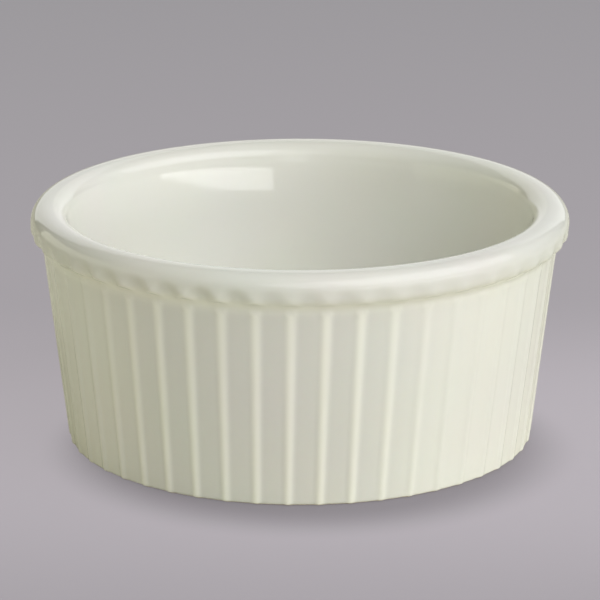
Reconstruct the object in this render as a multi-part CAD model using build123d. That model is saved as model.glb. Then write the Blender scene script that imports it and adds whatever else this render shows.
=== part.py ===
from build123d import *
import os
from math import asin, atan, cos, radians, sin, sqrt, tan

# A fluted ramekin: one thrown and fired stoneware cup, its glaze, and the glaze under its base.
# Millimetres, +Z up. The origin is the middle of the foot ring, on the surface it stands on.

# Overall sizes
RIM_RADIUS = 45.0        # the collar at its widest
HEIGHT = 40.2            # from the table to the crest of the rim
FOOT_RADIUS = 39.1       # the wall where it meets the table
GLAZE = 0.3              # thickness of the fired glaze

# The wall and the floor, measured over the glaze
COLLAR_STAND = 1.5       # how far the collar stands out from the wall
COLLAR_ROUND = 3.0       # radius of the bead that the collar is
COLLAR_FILLET = 0.5      # glaze pooled in the crease under the collar
COLLAR_WALL = 4.7        # thickness of the wall, seen level, where the collar stands out
FOOT_WALL = 7.0          # thickness of the wall, seen level, where it would meet the table
FLOOR_TOP = 5.5          # height of the inside floor
FLOOR_ROUND = 7.0        # radius where the inside wall turns into the floor
FOOT_ROUND = 0.8         # radius of the outer edge at the table

# The underside
FOOT_RING = 4.6          # width of the flat ring that the cup stands on
RECESS_DEPTH = 1.5       # how far the base is lifted off the table
RECESS_FLARE = 1.2       # how far the side of the recess leans in on its way up
RING_ROUND = 0.4         # radius of the inner edge of the ring
BARE_FOOT = 0.3          # height of the clay that is wiped free of glaze

# The flutes, gouged up the wall and lifted out through the collar
FLUTE_COUNT = 48
FLUTE_RADIUS = 5.0       # radius of the gouge
FLUTE_DEPTH = 0.4        # depth of a flute in the wall
ARCH_TOP = 2.1           # from the crest of the rim down to the top of an arch

OVERRUN = 1.0            # every cut passes the face it leaves by this much
CUBIC_CM = 1000          # in cubic millimetres

# The bead's middle, and how far the two faces of the wall lean out from upright
bead_radius = RIM_RADIUS - COLLAR_ROUND
bead_height = HEIGHT - COLLAR_ROUND
collar_foot = RIM_RADIUS - COLLAR_STAND
inner_foot = FOOT_RADIUS - FOOT_WALL
tilt = atan((collar_foot - FOOT_RADIUS) / bead_height)
inner_tilt = atan((collar_foot - COLLAR_WALL - inner_foot) / bead_height)


def wall_radius(z, inset=0):
    """Radius of the outer wall at a height, a given distance under the glaze."""
    return FOOT_RADIUS + z * tan(tilt) - inset / cos(tilt)


def inner_radius(z, inset=0):
    """Radius of the inner wall at a height, a given distance under the glaze."""
    return inner_foot + z * tan(inner_tilt) + inset / cos(inner_tilt)


def bead_crease(inset):
    """Where the underside of the bead runs into the wall, as (radius, height)."""
    reach = COLLAR_ROUND - inset
    side = (wall_radius(bead_height, inset) - bead_radius) * cos(tilt)
    angle = asin(side / reach) - tilt
    return bead_radius + reach * sin(angle), bead_height - reach * cos(angle)


def cup_face(inset):
    """Half of the cup's cross-section, without flutes, a given distance under the glaze."""
    top = HEIGHT - inset
    floor = FLOOR_TOP - inset
    lip = (bead_radius - inner_radius(top, inset)) * cos(inner_tilt) / (1 - sin(inner_tilt))
    half_turn = (radians(90) + inner_tilt) / 2

    floor_middle = (0, floor)
    floor_corner = (inner_radius(floor, inset), floor)
    lip_low = (bead_radius - lip * cos(inner_tilt), top - lip + lip * sin(inner_tilt))
    lip_mid = (bead_radius - lip * sin(half_turn), top - lip + lip * cos(half_turn))
    crest = (bead_radius, top)
    bead_side = (RIM_RADIUS - inset, bead_height)
    crease = bead_crease(inset)
    foot_corner = (wall_radius(0, inset), 0)

    outline = [
        Line(floor_middle, floor_corner),
        Line(floor_corner, lip_low),
        ThreePointArc(lip_low, lip_mid, crest),
        ThreePointArc(crest, bead_side, crease),
        Line(crease, foot_corner),
        Line(foot_corner, (0, 0)),
        Line((0, 0), floor_middle),
    ]
    face = make_face(outline)
    for corner, radius in (
        (floor_corner, FLOOR_ROUND + inset),
        (crease, COLLAR_FILLET + inset),
        (foot_corner, FOOT_ROUND - inset),
    ):
        face = fillet(face.vertices().sort_by_distance(corner)[0], radius)
    return face


def flute_section(z, floor_radius, inset):
    """A level disc with a scalloped edge: one hollow for each flute."""
    pitch = 360 / FLUTE_COUNT
    half = radians(pitch / 2)
    gouge = FLUTE_RADIUS + inset
    axis = floor_radius + FLUTE_RADIUS
    cusp = axis * cos(half) - sqrt(gouge**2 - (axis * sin(half))**2)
    edge = []
    for flute in range(FLUTE_COUNT):
        start = flute * pitch
        hollow = ThreePointArc(
            Vector(cusp).rotate(Axis.Z, start),
            Vector(axis - gouge).rotate(Axis.Z, start + pitch / 2),
            Vector(cusp).rotate(Axis.Z, start + pitch),
        )
        edge.append(hollow)
    return Pos(0, 0, z) * make_face(edge)


def flute_form(inset):
    """The scalloped column that the gouge leaves: up the wall, then out through the collar."""
    crease = bead_crease(0)[1]
    enter = wall_radius(crease) - FLUTE_DEPTH
    arch = HEIGHT - ARCH_TOP
    leave = bead_radius + sqrt(COLLAR_ROUND**2 - (arch - bead_height)**2)
    top = HEIGHT + OVERRUN
    top_radius = enter + (leave - enter) * (top - crease) / (arch - crease)
    sections = [
        flute_section(-OVERRUN, wall_radius(-OVERRUN) - FLUTE_DEPTH, inset),
        flute_section(crease, enter, inset),
        flute_section(top, top_radius, inset),
    ]
    return loft(sections, ruled=True)


def fluted_cup(inset):
    """The whole cup a given distance under the glaze, with its flutes and a solid foot."""
    return revolve(Plane.XZ * cup_face(inset), Axis.Z) & flute_form(inset)


def recess(low, high):
    """The hollow under the base, between two heights."""
    mouth = wall_radius(0) - FOOT_ROUND - FOOT_RING
    flare = RECESS_FLARE / RECESS_DEPTH
    return Pos(0, 0, low) * Cone(
        mouth - flare * low,
        mouth - flare * high,
        high - low,
        align=(Align.CENTER, Align.CENTER, Align.MIN),
    )


def make_stoneware_body(clay):
    """The clay: wall, collar and floor, on a bare foot ring."""
    body = clay - recess(-OVERRUN, RECESS_DEPTH)
    underside = body.faces().filter_by(Plane.XY).sort_by(Axis.Z)[0]
    ring_edge = underside.inner_wires()[0].edges()
    return fillet(ring_edge, RING_ROUND)


def make_glaze_coat(clay):
    """The glass skin inside and out, over the rim and down to the bare foot."""
    reach = RIM_RADIUS + OVERRUN
    above_foot = Pos(0, 0, BARE_FOOT) * Cylinder(
        reach, HEIGHT, align=(Align.CENTER, Align.CENTER, Align.MIN)
    )
    return (fluted_cup(0) & above_foot) - clay


def make_base_glaze():
    """The disc of glaze in the recess under the base."""
    return recess(RECESS_DEPTH - GLAZE, RECESS_DEPTH)


os.makedirs("parts", exist_ok=True)
clay = fluted_cup(GLAZE)
stoneware_body = make_stoneware_body(clay)
glaze_coat = make_glaze_coat(clay)
base_glaze = make_base_glaze()
for name, piece in (
    ("stoneware_body", stoneware_body),
    ("glaze_coat", glaze_coat),
    ("base_glaze", base_glaze),
):
    piece.label = name
    export_step(piece, "parts/" + name + ".step")
    print(name, len(piece.solids()), "solid", round(piece.volume / CUBIC_CM, 2), "cm3")
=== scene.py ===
# %% [markdown]
# # A fluted ramekin in glazed stoneware
# A ramekin is one small round baking cup. The potter presses it in a plaster mould, which gives the
# flutes up its wall, wipes its foot dry, dips it in glaze and fires it. So there are three things
# to make: the fired clay, the glass skin that covers it, and the glaze in the hollow under its
# base. Everything is in metres, and stands where the frame says.

import math
import random

import bmesh
import bpy
from mathutils import Matrix, Vector


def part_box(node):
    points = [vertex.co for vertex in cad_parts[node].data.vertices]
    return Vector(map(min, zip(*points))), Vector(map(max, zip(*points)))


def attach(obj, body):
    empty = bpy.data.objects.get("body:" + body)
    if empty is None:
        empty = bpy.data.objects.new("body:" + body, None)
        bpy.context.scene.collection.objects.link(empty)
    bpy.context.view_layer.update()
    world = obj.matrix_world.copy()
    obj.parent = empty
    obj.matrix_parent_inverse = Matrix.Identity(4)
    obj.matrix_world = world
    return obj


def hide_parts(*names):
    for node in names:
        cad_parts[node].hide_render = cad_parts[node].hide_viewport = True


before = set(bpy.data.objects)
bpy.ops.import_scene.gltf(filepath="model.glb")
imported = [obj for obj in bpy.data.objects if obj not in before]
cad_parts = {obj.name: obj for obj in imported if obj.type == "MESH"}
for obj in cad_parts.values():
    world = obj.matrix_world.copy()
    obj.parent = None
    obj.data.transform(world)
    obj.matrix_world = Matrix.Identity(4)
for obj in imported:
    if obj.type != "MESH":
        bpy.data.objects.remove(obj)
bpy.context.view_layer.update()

# %% [markdown]
# ## Sizes
# The rim's radius and the height are read from the frame, so the looks can't drift from the solids.
# The rest are the sizes a potter would cut on the profile of the mould, in real millimetres.

# %% Sizes of the cup
mm = 0.001
glaze_low, glaze_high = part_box("glaze_coat")
recess_low, recess_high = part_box("base_glaze")

rim_radius = glaze_high.x
cup_height = glaze_high.z
glaze = recess_high.z - recess_low.z
bare_foot = glaze_low.z

lip_crest = 42.0 * mm  # radius of the circle along which the lip is highest
lip_top = 3.8 * mm  # round of the lip's domed top
lip_edge = 2.8 * mm  # round of its inner edge
collar_round = 2.8 * mm  # round of the bead that the collar starts with
collar_face = 0.8 * mm  # height of the upright face under the bead
collar_edge = 2.2 * mm  # round of the collar's lower edge
collar_stand = 1.5 * mm  # how far the collar stands out from the wall
crease_round = 4.4 * mm  # round of the crease between collar and wall
collar_wall = 4.7 * mm  # thickness of the wall behind the collar
foot_wall = 7.0 * mm  # thickness of the wall at the table
foot_radius = 39.1 * mm
foot_round = 0.8 * mm
foot_ring = 4.6 * mm  # width of the ring that the cup stands on
floor_top = 5.5 * mm
floor_round = 7.0 * mm  # round between the floor and the inner wall
print("rim", round(rim_radius / mm, 2), "height", round(cup_height / mm, 2))
print("glaze", round(glaze / mm, 2), "thick")

# %% [markdown]
# ## The slope of the wall
# Both faces of the wall are cones. Each is known by two radii, one level with the middle of the
# collar's bead and one at the table, so a short function gives the radius at any height. A surface
# that lies under the glaze is the same cone, moved in by the thickness of the glaze. The bead is as
# high as it must be to carry on the lip's domed top without a corner.

# %% Radius of each face of the wall
bead_radius = rim_radius - collar_round
bead_rise = math.sqrt((lip_top - collar_round) ** 2 - (bead_radius - lip_crest) ** 2)
bead_height = cup_height - lip_top + bead_rise
lean = math.atan((rim_radius - collar_stand - foot_radius) / bead_height)
inner_foot = foot_radius - foot_wall
inner_lean = math.atan((rim_radius - collar_stand - collar_wall - inner_foot) / bead_height)


def outer_radius(height, under=0):
    """Radius of the outside at a height, so far under the surface of the glaze."""
    return foot_radius + height * math.tan(lean) - under / math.cos(lean)


def inner_radius(height, under=0):
    """Radius of the inside at a height, so far under the surface of the glaze."""
    return inner_foot + height * math.tan(inner_lean) + under / math.cos(inner_lean)


print("outside leans", round(math.degrees(lean), 2), "degrees")
print("inside leans", round(math.degrees(inner_lean), 2), "degrees")

# %% [markdown]
# ## Colours
# The colours are written as a painter would pick them from a swatch, as sRGB hex. Blender's shaders
# want linear light, so one function turns a hex value into it.

# %% Hex to linear light
def hex_colour(code):
    """An sRGB hex value as the linear colour that a shader wants."""
    parts = [int(code[i : i + 2], 16) / 255 for i in (1, 3, 5)]
    linear = [p / 12.92 if p <= 0.04045 else ((p + 0.055) / 1.055) ** 2.4 for p in parts]
    return (*linear, 1)


print("a mid grey is", round(hex_colour("#808080")[0], 3))

# %% [markdown]
# ## Wiring a material
# A node material is a small circuit. One function adds a node, sets its options, and fills its
# inputs: a value is written on the socket, and the output of another node is linked to it.

# %% Add a node
def add_node(material, kind, settings=None, **inputs):
    """Adds a shader node.

    An input's name is its socket's, with _ for a space, or _0, _1 and so on for its place.
    """
    tree = material.node_tree
    node = tree.nodes.new(kind)
    for name, value in (settings or {}).items():
        setattr(node, name, value)
    for name, value in inputs.items():
        key = int(name[1:]) if name[1:].isdigit() else name.replace("_", " ")
        if isinstance(value, bpy.types.NodeSocket):
            tree.links.new(value, node.inputs[key])
        else:
            node.inputs[key].default_value = value
    return node


def new_material(name):
    """A material with only its output node, and that node."""
    material = bpy.data.materials.new(name)
    material.use_nodes = True
    material.node_tree.nodes.clear()
    return material, add_node(material, "ShaderNodeOutputMaterial")


# %% [markdown]
# ## Glazed stoneware, ivory
# This is a feldspar glaze fired over stoneware: a clear glass full of fine white particles. Where
# it lies thin, on a sharp ridge, it looks pale. Where it has run together, in a flute, it is
# deeper, a grey green cream. The cup's mesh carries a value in an attribute, which moves the colour
# between the two. That value is partly how deep the glaze lies and partly painted light and shade:
# painted highlights on the ridges, painted shade in the flutes and on the collar, and a painted
# paler crease. Two noises, one as wide as a finger and one as fine as the grit of the clay, keep
# the
# colour alive, and the same sort of noise swells the surface a little, as glass does when it sets:
# the reflections wander by a hair. A glaze is glass, so its IOR would be about 1.5. It is 1.42
# here, matched to how strongly the rim mirrors the lamps, and the roughness is that of a clean
# gloss.

# %% Make the glaze
def make_glaze():
    """The glaze, from pale where it is thin or carries painted highlights, to grey green where it
    is deep or carries painted shade.
    """
    material, output = new_material("glazed_stoneware_ivory")
    place = add_node(material, "ShaderNodeTexCoord").outputs["Object"]
    depth = add_node(
        material, "ShaderNodeAttribute", {"attribute_name": "glaze_depth_and_painted_light"}
    ).outputs["Fac"]
    drift = add_node(material, "ShaderNodeTexNoise", Vector=place, Scale=1 / (18 * mm), Detail=2.0)
    grit = add_node(material, "ShaderNodeTexNoise", Vector=place, Scale=1 / (0.9 * mm), Detail=3.0)
    # Pale to grey green by the depth value, which also carries painted highlights and painted
    # shade.
    glaze_and_painted_light_colour = add_node(
        material, "ShaderNodeMix", {"data_type": "RGBA"},
        _0=depth, _6=hex_colour("#f0f0e5"), _7=hex_colour("#d4d4cd"),
    ).outputs[2]
    clouded = add_node(
        material, "ShaderNodeMix", {"data_type": "RGBA", "blend_type": "MULTIPLY"},
        _0=0.05, _6=glaze_and_painted_light_colour, _7=drift.outputs["Color"],
    ).outputs[2]
    colour = add_node(
        material, "ShaderNodeMix", {"data_type": "RGBA", "blend_type": "OVERLAY"},
        _0=0.03, _6=clouded, _7=grit.outputs["Color"],
    ).outputs[2]
    swell = add_node(material, "ShaderNodeTexNoise", Vector=place, Scale=1 / (7 * mm), Detail=1.0)
    waves = add_node(
        material, "ShaderNodeBump", Strength=0.25, Distance=0.05 * mm, Height=swell.outputs["Fac"]
    ).outputs["Normal"]
    shine = add_node(
        material, "ShaderNodeMapRange", Value=drift.outputs["Fac"], To_Min=0.05, To_Max=0.08
    ).outputs["Result"]
    shader = add_node(
        material, "ShaderNodeBsdfPrincipled",
        Base_Color=colour, Roughness=shine, Normal=waves, IOR=1.42,
    )
    material.node_tree.links.new(shader.outputs["BSDF"], output.inputs["Surface"])
    return material


glaze_material = make_glaze()
print("made", glaze_material.name)

# %% [markdown]
# ## Bisque stoneware
# The foot ring is wiped clean before firing, so there the bare clay shows. Fired stoneware is a
# dry, warm buff, dotted with darker grains of grog half a millimetre wide, and it is as rough as
# fine paper. Nothing on it shines.

# %% Make the bisque
def make_bisque():
    """The bare clay of the foot ring, buff with darker grog."""
    material, output = new_material("bisque_stoneware_buff")
    place = add_node(material, "ShaderNodeTexCoord").outputs["Object"]
    grain = add_node(
        material, "ShaderNodeTexNoise", Vector=place, Scale=1 / (0.35 * mm), Detail=4.0
    )
    grog = add_node(material, "ShaderNodeTexVoronoi", Vector=place, Scale=1 / (1.4 * mm))
    speck = add_node(
        material, "ShaderNodeMapRange",
        Value=grog.outputs["Distance"], From_Min=0.10, From_Max=0.22, To_Min=1.0, To_Max=0.0,
    ).outputs["Result"]
    clay = add_node(
        material, "ShaderNodeMix", {"data_type": "RGBA"},
        _0=grain.outputs["Fac"], _6=hex_colour("#cdbfa4"), _7=hex_colour("#e0d5bd"),
    ).outputs[2]
    colour = add_node(
        material, "ShaderNodeMix", {"data_type": "RGBA"},
        _0=speck, _6=clay, _7=hex_colour("#a58a6a"),
    ).outputs[2]
    tooth = add_node(
        material, "ShaderNodeBump", Strength=0.5, Distance=0.04 * mm, Height=grain.outputs["Fac"]
    ).outputs["Normal"]
    shader = add_node(
        material, "ShaderNodeBsdfPrincipled",
        Base_Color=colour, Roughness=0.85, Normal=tooth, IOR=1.45,
    )
    material.node_tree.links.new(shader.outputs["BSDF"], output.inputs["Surface"])
    return material


bisque_material = make_bisque()
print("made", bisque_material.name)

# %% [markdown]
# ## Drawing a profile
# A potter's template is a line made of straights and arcs. It could be typed in as a list of
# points, but then each arc would be a table of numbers. Here the line grows from its tip instead: a
# straight extrudes the tip in equal steps, and an arc spins the tip about a centre until it lies in
# a given direction from it. Both hand back the new tip.

# %% Draw straights and arcs
def straight(bm, tip, radius, height, steps):
    """Extrudes the tip to a radius and a height, in equal steps."""
    step = (Vector((radius, 0, height)) - tip.co) / steps
    for _ in range(steps):
        tip = bmesh.ops.extrude_vert_indiv(bm, verts=[tip])["verts"][0]
        bmesh.ops.translate(bm, verts=[tip], vec=step)
    return tip


def arc(bm, tip, centre, end, steps):
    """Spins the tip about a centre, the short way round, until it lies in the direction end."""
    start = math.atan2(tip.co.z - centre.z, tip.co.x - centre.x)
    turn = math.remainder(start - end, math.tau)
    made = bmesh.ops.spin(bm, geom=[tip], cent=centre, axis=(0, 1, 0), angle=turn, steps=steps)
    return [v for v in made["geom_last"] if isinstance(v, bmesh.types.BMVert)][0]


down = -math.pi / 2
test = bmesh.new()
tip = arc(test, test.verts.new((0, 0, 1)), Vector(), 0, 4)
print("a quarter turn takes the top to", [round(c, 3) for c in tip.co])
test.free()

# %% [markdown]
# ## Centres of the arcs
# Over the rim the surface rounds the lip's inner edge, rises over a domed top, rolls over the bead,
# drops down a short upright face, rounds the collar's lower edge and turns out again through the
# crease into the wall. Every round touches its neighbours without a corner, and that fixes where
# its centre is. The lip's inner edge, for one, touches the domed top and meets the inner wall flat,
# so its centre lies where a circle crosses a line. A potter gets it by running a wet sponge along.

# %% Find the centres
out_of_wall = Vector((math.cos(lean), 0, -math.sin(lean)))
up_the_wall = Vector((math.sin(lean), 0, math.cos(lean)))
into_cup = Vector((-math.cos(inner_lean), 0, math.sin(inner_lean)))

bead_centre = Vector((bead_radius, 0, bead_height))
edge_centre = Vector((rim_radius - collar_edge, 0, bead_height - collar_face))
edge_depth = (outer_radius(edge_centre.z) - edge_centre.x) * math.cos(lean)
crease_out = crease_round + edge_depth
crease_drop = math.sqrt((collar_edge + crease_round) ** 2 - crease_out**2)
crease_centre = edge_centre + crease_out * out_of_wall - crease_drop * up_the_wall

top_centre = Vector((lip_crest, 0, cup_height - lip_top))
up_inside = Vector((math.sin(inner_lean), 0, math.cos(inner_lean)))
lip_base = Vector((inner_radius(0, lip_edge), 0, 0)) - top_centre
lip_along = lip_base.dot(up_inside)
lip_rise = math.sqrt(lip_along**2 - lip_base.length_squared + (lip_top - lip_edge) ** 2)
lip_centre = top_centre + lip_base + (lip_rise - lip_along) * up_inside

well_height = floor_top + floor_round
well_radius = inner_radius(well_height) - floor_round / math.cos(inner_lean)
well_centre = Vector((well_radius, 0, well_height))
print("lip's inner edge turns about", [round(c / mm, 2) for c in lip_centre])
print("crease turns about", [round(c / mm, 2) for c in crease_centre])

# %% [markdown]
# ## The cup's line
# One line runs from the middle of the floor, up the inside, over the lip and the collar, through
# the crease and down the wall to the foot. It is drawn on the glaze, or as far under it as asked,
# so the clay and the two faces of the glaze all come from the same few calls. The inside isn't
# quite a cone: at two bends, each given by its height, it lies a tenth or two of a millimetre
# further in, and that sets how high the lamp's reflection sits. A rounder place gets more steps, so
# the mesh is fine where the surface turns, and in the band under the crease where the ridges end,
# and light elsewhere.

# %% Draw the cup's line
bends = ((31.8 * mm, 0.16 * mm), (36.8 * mm, 0.09 * mm))
ridge_ends = 1.6 * mm


def direction(vector):
    """The angle of a vector in the plane of the line."""
    return math.atan2(vector.z, vector.x)


def cup_line(bm, under, foot_end, fineness):
    """Draws the line so far under the glaze, until the foot's round faces foot_end."""

    def steps(count):
        return max(2, round(count * fineness))

    tip = bm.verts.new((0, 0, floor_top - under))
    tip = straight(bm, tip, well_centre.x, floor_top - under, steps(5))
    tip = arc(bm, tip, well_centre, direction(-into_cup), steps(9))
    for height, inwards in bends:
        tip = straight(bm, tip, inner_radius(height, under) - inwards, height, steps(6))
    lip_start = lip_centre + (lip_edge - under) * into_cup
    tip = straight(bm, tip, lip_start.x, lip_start.z, steps(4))
    tip = arc(bm, tip, lip_centre, direction(lip_centre - top_centre), steps(9))
    tip = arc(bm, tip, top_centre, direction(bead_centre - top_centre), steps(5))
    tip = arc(bm, tip, bead_centre, 0, steps(11))
    tip = straight(bm, tip, tip.co.x, edge_centre.z, steps(2))
    tip = arc(bm, tip, edge_centre, direction(crease_centre - edge_centre), steps(7))
    tip = arc(bm, tip, crease_centre, direction(-out_of_wall), steps(5))
    ring = tip.co.z - ridge_ends
    tip = straight(bm, tip, outer_radius(ring, under), ring, steps(6))
    edge_round = foot_round - under
    foot_reach = outer_radius(edge_round, under) - edge_round / math.cos(lean)
    foot_centre = Vector((foot_reach, 0, edge_round))
    foot_start = foot_centre + edge_round * out_of_wall
    tip = straight(bm, tip, foot_start.x, foot_start.z, steps(11))
    return arc(bm, tip, foot_centre, foot_end, steps(3))


# %% [markdown]
# ## Turning the line
# The wheel turns the line into a cup. The cup repeats forty-eight times around, once for each
# flute, so the line is spun by the width of one flute, and that sector is then spun on as copies.
# It gives the same mesh as one long spin in a tenth of the time. Points that fall on one place,
# along the seams and on the axis, are merged, which closes the seams and the poles. Only then can
# the normals be worked out.

# %% Turn a line on the wheel
flute_count = 48
flute_angle = math.tau / flute_count
steps_per_flute = 16
same_place = 0.001 * mm


def spin_and_merge(bm, **how):
    """Spins the whole mesh about the cup's axis and merges the points that fall together."""
    geom = bm.verts[:] + bm.edges[:] + bm.faces[:]
    bmesh.ops.spin(bm, geom=geom, cent=(0, 0, 0), axis=(0, 0, 1), **how)
    bmesh.ops.remove_doubles(bm, verts=bm.verts, dist=same_place)


def turn(bm):
    """Spins the profile by one flute, then copies that sector all the way around."""
    spin_and_merge(bm, angle=flute_angle, steps=steps_per_flute)
    spin_and_merge(bm, angle=math.tau - flute_angle, steps=flute_count - 1, use_duplicate=True)
    bmesh.ops.recalc_face_normals(bm, faces=bm.faces)
    open_edges = sum(1 for e in bm.edges if len(e.link_faces) != 2)
    print(len(bm.faces), "faces,", open_edges, "open edges")


print("one flute is", round(math.degrees(flute_angle), 2), "degrees wide")

# %% [markdown]
# ## The flutes
# A flute is a shallow hollow with a flat floor, and between two of them stands a narrow rounded
# ridge. The ridges stop in a smooth ring just under the collar, but the floors of the flutes run on
# and leave through the collar as arches. Between the arches hang the webs, which look like blunt
# teeth. The mould has two halves that meet at the front. One cuts its arches deep into the collar,
# and they fade towards its far side, where the plaster is worn. The other half hardly marks the
# collar. None of this needs a cut. Each point of the outside is moved inwards by a depth that
# depends on how far it is from a ridge and how high it is. On the wall that is a fifth of a
# millimetre. In an arch it is a share of the way from the collar in to the line on which the
# flute's floor leaves it.

# %% The flute's floor, and the plain outside it is pressed into
flute_high, flute_low = 0.16 * mm, 0.24 * mm
ridge_top, ridge_high, ridge_low = 0.05 * mm, 1.40 * mm, 1.05 * mm
ring_low, ring_high = 32.8 * mm, 34.0 * mm
arch_low, arch_high = 34.0 * mm, 38.6 * mm
web_low, web_high = 34.5 * mm, 35.7 * mm
arch_half, arch_soft = 2.9 * mm, 0.85
deep_cut, shallow_cut = 0.68, 0.25
mould_seam, seam_soft = math.radians(-98), 0.13
worn_low, worn_high, worn_share = 0.45, 0.85, 0.8

edge_low = edge_centre.z + collar_edge * (crease_centre - edge_centre).normalized().z
crease_low = crease_centre.z - crease_round * out_of_wall.z


def collar_radius(height):
    """Radius of the outside of the collar and its crease, before the flutes."""
    if height > bead_height:
        return bead_radius + math.sqrt(max(collar_round**2 - (height - bead_height) ** 2, 0))
    if height > edge_low:
        return edge_centre.x + math.sqrt(collar_edge**2 - min(height - edge_centre.z, 0) ** 2)
    if height > crease_low:
        return crease_centre.x - math.sqrt(crease_round**2 - (height - crease_centre.z) ** 2)
    return outer_radius(height)


def smooth(low, high, value):
    """Rises from 0 to 1 between two values, with no corner at either."""
    share = min(max((value - low) / (high - low), 0), 1)
    return share * share * (3 - 2 * share)


def up_share(height):
    """0 at the table, 1 at the ring under the collar."""
    return min(height / ring_low, 1)


def collar_cut(angle):
    """Share of the full depth to which the mould cuts the collar in this direction."""
    from_seam = math.sin(mould_seam - angle)
    side = smooth(-seam_soft, seam_soft, from_seam)
    worn = smooth(worn_low, worn_high, from_seam)
    return shallow_cut + (deep_cut - shallow_cut) * side * (1 - worn_share * worn)


def floor_depth(angle, height):
    """How far in the floor of a flute lies from the plain outside."""
    leaving = min(max((height - arch_low) / (arch_high - arch_low), 0), 1)
    reach = collar_radius(arch_high) - outer_radius(arch_high) + flute_high
    wall_depth = flute_low + (flute_high - flute_low) * up_share(height)
    floor_radius = outer_radius(height) - wall_depth + reach * leaving
    below_collar = 1 - smooth(ring_high, web_high, height)
    cut = collar_cut(angle)
    cut_share = cut + (1 - cut) * below_collar
    return max(collar_radius(height) - floor_radius, 0) * cut_share


for height in (20, 34, 36, 38):
    print("at", height, "mm the floor is", round(floor_depth(0, height * mm) / mm, 2), "mm in")

# %% [markdown]
# ## How open the flute is
# Across a flute the depth is shared out: none on a ridge or a web, all of it on the floor, with a
# soft slope between, since glaze has rounded every edge. In the collar the flute narrows as a half
# ellipse, which draws the arch. Each flute of the mould was cut by hand, so each is a touch deeper
# or shallower than the next, and on its way down the wall each drifts sideways by an eighth of its
# width. The seed keeps the flutes the same on every run.

# %% Share the depth across a flute
twist = 0.12
own_soft = 0.2
potter = random.Random(48)
flute_share = [potter.uniform(0.90, 1.10) for _ in range(flute_count)]


def flute_at(angle, height):
    """How far a point is moved in, and how open the flute is there, from 0 on a ridge to 1."""
    place = angle / flute_angle + twist * (1 - up_share(height))
    from_ridge = abs(place - round(place))
    pitch = flute_angle * outer_radius(height)
    ridge_side = ridge_low + (ridge_high - ridge_low) * up_share(height)
    hollow = smooth(ridge_top, ridge_side, from_ridge * pitch)
    hollow = max(hollow, smooth(ring_low, ring_high, height))
    across = (0.5 - from_ridge) * pitch / arch_half
    along = max(height - web_high, 0) / (arch_high - web_high)
    arch = 1 - smooth(1 - arch_soft, 1, math.hypot(across, along))
    arch = max(arch, 1 - smooth(web_low, web_high, height))
    own = 1 + (flute_share[math.floor(place) % flute_count] - 1) * smooth(0, own_soft, from_ridge)
    return floor_depth(angle, height) * own * hollow * arch, hollow * arch


for name, angle in (("ridge", 0), ("flute", flute_angle / 2)):
    print(name, "is", round(flute_at(angle, ring_low)[0] / mm, 3), "mm in")

# %% [markdown]
# ## Pressing the flutes into a turned cup
# The mould presses the same flutes into the clay and so into the glaze on it. This goes through the
# points of the outside, which are those within a shell of 2.5 mm under the outer cone, and leaves
# the inside alone. It also draws the points together near the ridges, where the surface bends most.

# %% Press the flutes
gather = 0.35
shell = 2.5 * mm


def press_flutes(bm):
    """Gathers the points at the ridges, then moves the outside in by the depth of the flutes."""
    for vert in bm.verts:
        radius = math.hypot(vert.co.x, vert.co.y)
        if radius < outer_radius(vert.co.z) - shell or radius == 0:
            continue
        place = math.atan2(vert.co.y, vert.co.x) / flute_angle
        place -= gather * math.sin(math.tau * place) / math.tau
        angle = (place - twist * (1 - up_share(vert.co.z))) * flute_angle
        radius -= flute_at(angle, vert.co.z)[0]
        vert.co.x, vert.co.y = radius * math.cos(angle), radius * math.sin(angle)


print("points move up to", round(gather / math.tau, 3), "of a flute towards a ridge")

# %% [markdown]
# ## From mesh to object
# A small function ends each piece the same way: it turns the bmesh into an object at the origin,
# shades it smooth, gives it its material, and tells the frame which solid it stands for.

# %% Finish a piece
def finish_piece(bm, name, material):
    """Makes the object, named like the solid it stands for, and hands it back."""
    mesh = bpy.data.meshes.new(name)
    bm.to_mesh(mesh)
    bm.free()
    mesh.shade_smooth()
    mesh.materials.append(material)
    piece = bpy.data.objects.new(name, mesh)
    bpy.context.scene.collection.objects.link(piece)
    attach(piece, "root")
    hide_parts(name)
    print(name, len(mesh.polygons), "faces")
    return piece


# %% [markdown]
# ## The clay
# The clay is the cup's line drawn under the glaze, then led on under the foot: a flat ring to stand
# on, its inner edge rounded so that it doesn't chip, and a shallow hollow that keeps the base off
# the table, so the cup can't rock. It sits a hundredth of a millimetre inside its glaze.

# %% Make the clay
fit = 0.01 * mm
ring_round = 0.4 * mm
recess_mouth = foot_radius - foot_round - foot_ring
recess_flare = 0.8

bm = bmesh.new()
tip = cup_line(bm, glaze + fit, down, 0.45)
side = Vector((-1, 0, -recess_flare)).normalized()
ring_centre = Vector((0, 0, ring_round))
ring_centre.x = recess_mouth + ring_round * (1 + side.z) / -side.x
tip = straight(bm, tip, ring_centre.x, 0, 4)
tip = arc(bm, tip, ring_centre, direction(side), 5)
tip = straight(bm, tip, recess_mouth - recess_flare * recess_high.z, recess_high.z + fit, 3)
tip = straight(bm, tip, 0, recess_high.z + fit, 4)
turn(bm)
press_flutes(bm)
finish_piece(bm, "stoneware_body", bisque_material)

# %% [markdown]
# ## The glaze
# A dipped glaze is one closed skin. Its outer face is the cup's line, its hidden face is the same
# line under the glaze, and down at the bare foot the two are joined by a small roll, as the glass
# draws itself round when it melts. The line is fine, so the highlight on the bead has no facets.

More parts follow.
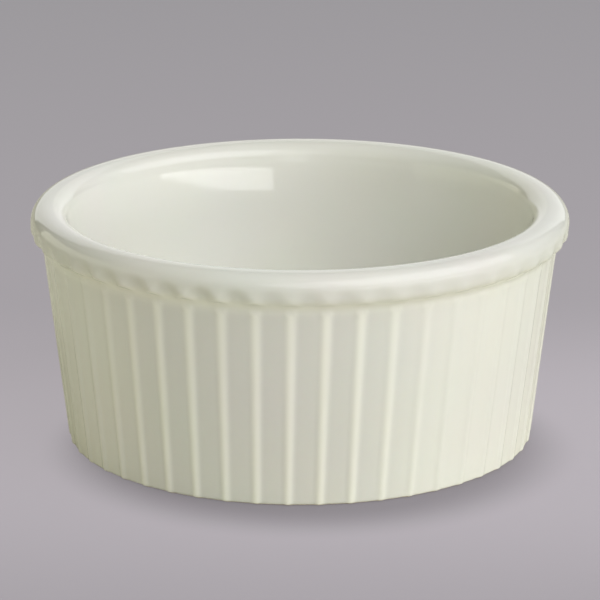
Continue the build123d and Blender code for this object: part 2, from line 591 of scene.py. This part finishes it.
# %% Make the glaze
bm = bmesh.new()
roll_round = 0.1 * mm
roll_height = bare_foot + roll_round
outer_tip = cup_line(bm, 0, math.asin((roll_height - foot_round) / foot_round), 1)
hidden_round = foot_round - glaze
hidden_tip = cup_line(bm, glaze, math.asin((roll_height - hidden_round) / hidden_round), 0.45)
middle = (outer_tip.co + hidden_tip.co) / 2
low = arc(bm, outer_tip, middle, down, 2)
arc(bm, low, middle, direction(hidden_tip.co - middle), 2)
bmesh.ops.remove_doubles(bm, verts=bm.verts, dist=same_place)
turn(bm)
press_flutes(bm)

# %% [markdown]
# ## How deep the glaze lies, with painted light and shade
# Molten glass runs off an edge and gathers in a hollow. Each point of the skin gets a value for
# that, from 0 where it is thin to 1 where it is deep, and the glaze material reads it. The same
# value also carries painted light and shade. Inside, the glaze is rather thin and gathers in the
# corner of the floor. Outside, the pale ridges and darker flutes are partly thin and deep glaze and
# partly painted highlights on the ridges and painted shade in the flutes. They are strongest
# towards the front and the back, and at the two sides the value is even. The collar gets a higher
# value than the wall, which is painted shade on its lit face, and the crest of the lip a little
# less again. The crease under the collar gets a lower value, which is painted light in its shade.

# %% Write the depth of the glaze
inside_depth, well_depth = 0.25, 0.30
ridge_depth, flute_depth, even_depth = 0.05, 0.90, 0.45
# Painted shade on the collar, which the crest of the lip is partly spared.
collar_shade_on_ridge, collar_shade_on_even, crest_less_shade = 0.60, 0.35, 0.60
# Painted highlights on the ridges and painted shade in the flutes, mixed with real thin and deep
# glaze, strongest at the front and back.
ridge_light_side, back_share = math.radians(-98), 0.7
front_low, front_high, back_low, back_high = 0.70, 0.97, 0.20, 0.60
# Painted light in the crease under the collar.
painted_crease_height, painted_crease_reach, painted_crease_share = 34.6 * mm, 1.2 * mm, 0.9


def glaze_depth_and_painted_light(point):
    """How deep the glaze lies at a point of the skin, with painted light and shade mixed in."""
    radius = math.hypot(point.x, point.y)
    if radius < outer_radius(point.z) - shell:
        well = 1 - smooth(floor_top, floor_top + floor_round, point.z)
        return inside_depth + well_depth * well
    angle = math.atan2(point.y, point.x)
    # Painted ridge highlights and flute shade show fully towards the front and back, and give way
    # to an even value at the sides.
    facing = math.cos(angle - ridge_light_side)
    ridge_light_share = smooth(front_low, front_high, facing)
    ridge_light_share += back_share * smooth(back_low, back_high, -facing)
    # Painted shade: the collar gets a higher value, so its lit face and highlights are darker. The
    # crest keeps part of its paleness.
    crest = smooth(bead_height, cup_height, point.z)
    collar_shade = smooth(ring_high, web_high, point.z) * (1 - crest_less_shade * crest)
    on_ridge = ridge_depth + collar_shade_on_ridge * collar_shade
    depth = on_ridge + (flute_depth - on_ridge) * flute_at(angle, point.z)[1]
    even = even_depth + collar_shade_on_even * collar_shade
    depth = even + (depth - even) * ridge_light_share
    # Painted light: the crease under the collar gets a lower value, so it is paler than its shade
    # would make it.
    painted_crease_light = painted_crease_share * math.exp(-(((point.z - painted_crease_height) / painted_crease_reach) ** 2))
    return depth * (1 - painted_crease_light)


def write_depth(piece, depth_at):
    """Stores a glaze depth, with any painted light and shade it carries, on each point of a piece,
    under the name that the glaze material reads.
    """
    depth = piece.data.attributes.new("glaze_depth_and_painted_light", "FLOAT", "POINT")
    for vert, value in zip(piece.data.vertices, depth.data):
        value.value = depth_at(vert.co)


coat = finish_piece(bm, "glaze_coat", glaze_material)
write_depth(coat, glaze_depth_and_painted_light)
# The printed depths include the painted light and shade.
for name, height in (("crest", cup_height), ("bead", bead_height), ("crease", painted_crease_height)):
    point = Vector((0, -collar_radius(height), height))
    print(name, "has a glaze depth of", round(glaze_depth_and_painted_light(point), 2))

# %% [markdown]
# ## Glaze under the base
# The same glaze fills the hollow under the base as a thin disc, wiped clean around its edge where
# the ring begins. Its rim is rounded, because glass creeps back from bare clay as it melts. Nothing
# drains on a level face, so its depth is the same all over.

# %% Make the glaze under the base
bm = bmesh.new()
thick = glaze - fit
disc_round = 0.15 * mm
base_depth = 0.6
disc_radius = recess_mouth - recess_flare * recess_high.z - fit
tip = bm.verts.new((0, 0, recess_high.z - fit))
tip = straight(bm, tip, disc_radius, recess_high.z - fit, 8)
tip = straight(bm, tip, disc_radius, recess_high.z - fit - thick / 3, 1)
disc_edge = Vector((disc_radius - disc_round, 0, recess_low.z + disc_round))
tip = straight(bm, tip, disc_radius, disc_edge.z, 1)
tip = arc(bm, tip, disc_edge, down, 4)
tip = straight(bm, tip, 0, recess_low.z, 8)
turn(bm)
base = finish_piece(bm, "base_glaze", glaze_material)
write_depth(base, lambda point: base_depth)

# %% [markdown]
# ## The table
# The cup stands on a plain sheet of matte paper that fills the picture. It reaches more than a
# metre behind the cup, because the camera looks down at only seventeen degrees. Lit paper alone
# would show a heavy shadow. So for the camera four fifths of this paper's light is a glow of its
# own, which is painted light: it washes out most of the shadow. The last fifth is cast on it and
# keeps the cup's shadow faintly. The glow dims where the cup stands, which is a painted contact
# shadow. The grey is lightest at the cup and darker with distance, a painted falloff of light. The
# cup itself sees a paler, warmer sheet, and so it gets the paler light that such a sheet throws
# back.

# %% Lay the paper
def make_paper():
    """The paper, with a painted falloff of light from the cup, a painted shadow round its foot, and
    a glow of its own for the camera.
    """
    material, output = new_material("matte_paper_grey")
    place = add_node(material, "ShaderNodeTexCoord").outputs["Object"]
    seen = add_node(material, "ShaderNodeLightPath").outputs["Is Camera Ray"]

    def away(point, low, high, kind="LINEAR", squeeze=1.0, **levels):
        """Runs from 0 to 1, or between two levels, with the distance from a point."""
        flat = add_node(
            material, "ShaderNodeVectorMath", {"operation": "MULTIPLY"},
            _0=place, _1=(squeeze, 1, 1),
        )
        far = add_node(
            material, "ShaderNodeVectorMath", {"operation": "DISTANCE"},
            _0=flat.outputs[0], _1=point,
        )
        return add_node(
            material, "ShaderNodeMapRange", {"interpolation_type": kind},
            Value=far.outputs["Value"], From_Min=low, From_Max=high, **levels,
        ).outputs["Result"]

    def blend(share, first, second):
        """Mixes two colours."""
        return add_node(
            material, "ShaderNodeMix", {"data_type": "RGBA"}, _0=share, _6=first, _7=second
        ).outputs[2]

    middle, wide = (0.012, -0.008, 0), 0.3
    # Painted light: the grey is lighter around the cup and darker towards the back, a painted
    # falloff of light.
    painted_falloff_near = away(middle, 0.025, 0.095, "SMOOTHSTEP", wide)
    painted_falloff_far = away(middle, 0.095, 0.36, "LINEAR", wide)
    painted_light_near = blend(painted_falloff_near, hex_colour("#b9b3b9"), hex_colour("#aaa5aa"))
    grey = blend(painted_falloff_far, painted_light_near, hex_colour("#a09da1"))
    tone = blend(seen, hex_colour("#e0decb"), grey)
    paper = add_node(material, "ShaderNodeBsdfPrincipled", Base_Color=tone, Roughness=0.9)
    # Painted contact shadow: the glow's strength falls to half around the foot of the cup.
    painted_shadow_centre = (0.002, -0.009, 0)
    level = away(painted_shadow_centre, 0.031, 0.046, "SMOOTHSTEP", To_Min=0.5, To_Max=1.0)
    painted_glow = add_node(material, "ShaderNodeEmission", Color=grey, Strength=level)
    # Painted light: for the camera four fifths of the paper is this glow, which washes out most of
    # the cast shadow.
    own = add_node(
        material, "ShaderNodeMath", {"operation": "MULTIPLY"}, _0=seen, _1=0.8
    ).outputs["Value"]
    shader = add_node(
        material, "ShaderNodeMixShader",
        _0=own, _1=paper.outputs["BSDF"], _2=painted_glow.outputs["Emission"],
    )
    material.node_tree.links.new(shader.outputs["Shader"], output.inputs["Surface"])
    return material


bm = bmesh.new()
bmesh.ops.create_grid(bm, x_segments=1, y_segments=1, size=3)
paper = bpy.data.meshes.new("paper")
bm.to_mesh(paper)
bm.free()
paper.materials.append(make_paper())
floor = bpy.data.objects.new("paper", paper)
bpy.context.scene.collection.objects.link(floor)
print("paper is", floor.dimensions.x, "m wide")

# %% [markdown]
# ## The light
# The cup was lit by big soft lamps. The main one is a wide softbox high on the right, and a smaller
# one in its middle is the brighter core that such lamps have. A low strip in front on the right
# draws the bright shape on the far inner wall. A low, faintly warm one lifts the left side, and a
# wide one behind edges the rim. Each is an area lamp that faces the middle of the cup. Its level is
# set as a radiance, which is how bright it looks in a mirror, since this glaze is one: 1 is as
# bright as white paper in full light. The air of the studio adds a dim light from all around.

# %% Set up the lamps
camera_turn = math.radians(1.95)
target = Vector((0, 0, 22.93 * mm))


def towards(azimuth, elevation):
    """The direction at so many degrees to the right of the camera and above the table."""
    turned, raised = math.radians(azimuth) + camera_turn, math.radians(elevation)
    return Vector((
        math.sin(turned) * math.cos(raised), -math.cos(turned) * math.cos(raised), math.sin(raised),
    ))


def look_from(way, distance):
    """The matrix of a lamp or camera that faces the middle of the cup from so far away."""
    turned = (-way).to_track_quat("-Z", "Y").to_matrix().to_4x4()
    return Matrix.Translation(target + distance * way) @ turned


def softbox(name, azimuth, elevation, distance, width, height, radiance, colour):
    """Adds an area lamp: degrees right of the camera and above the table, metres, level, colour."""
    lamp = bpy.data.lights.new(name, "AREA")
    lamp.shape = "RECTANGLE"
    lamp.size, lamp.size_y = width, height
    lamp.color = hex_colour(colour)[:3]
    lamp.energy = radiance * math.pi * width * height
    box = bpy.data.objects.new(name, lamp)
    box.matrix_world = look_from(towards(azimuth, elevation), distance)
    bpy.context.scene.collection.objects.link(box)


softbox("main_softbox", 48, 42, 1.0, 2.40, 0.80, 1.72, "#f8f8ff")
softbox("core_softbox", 51, 42, 1.0, 1.00, 0.75, 1.15, "#f8f8ff")
softbox("low_strip", 45, 7.0, 0.8, 0.95, 0.08, 4.8, "#ffffff")
softbox("left_softbox", -100, 12, 1.0, 1.60, 0.42, 1.24, "#faf9e0")
softbox("back_softbox", 180, 22, 1.2, 1.40, 0.90, 0.95, "#ffffff")

world = bpy.data.worlds.new("studio_air")
bpy.context.scene.world = world
world.use_nodes = True
air = world.node_tree.nodes["Background"].inputs
air["Color"].default_value = hex_colour("#faf9e0")
air["Strength"].default_value = 0.17

# %% [markdown]
# ## The camera
# The picture was taken with a long lens from a little above the rim. The numbers come from fitting
# the cup's circles to their edges in the picture, which gives the height of the lens above the
# table, its distance and its field of view.

# %% Place the camera
camera_raised = 16.63
camera_distance = 0.636

camera = bpy.data.cameras.new("camera")
camera.sensor_width = 36
camera.lens = 226.56
view = bpy.data.objects.new("camera", camera)
view.matrix_world = look_from(towards(0, camera_raised), camera_distance)
bpy.context.scene.collection.objects.link(view)
bpy.context.scene.camera = view
bpy.context.scene.view_settings.view_transform = "Standard"
print("camera at", [round(c, 3) for c in view.matrix_world.translation])
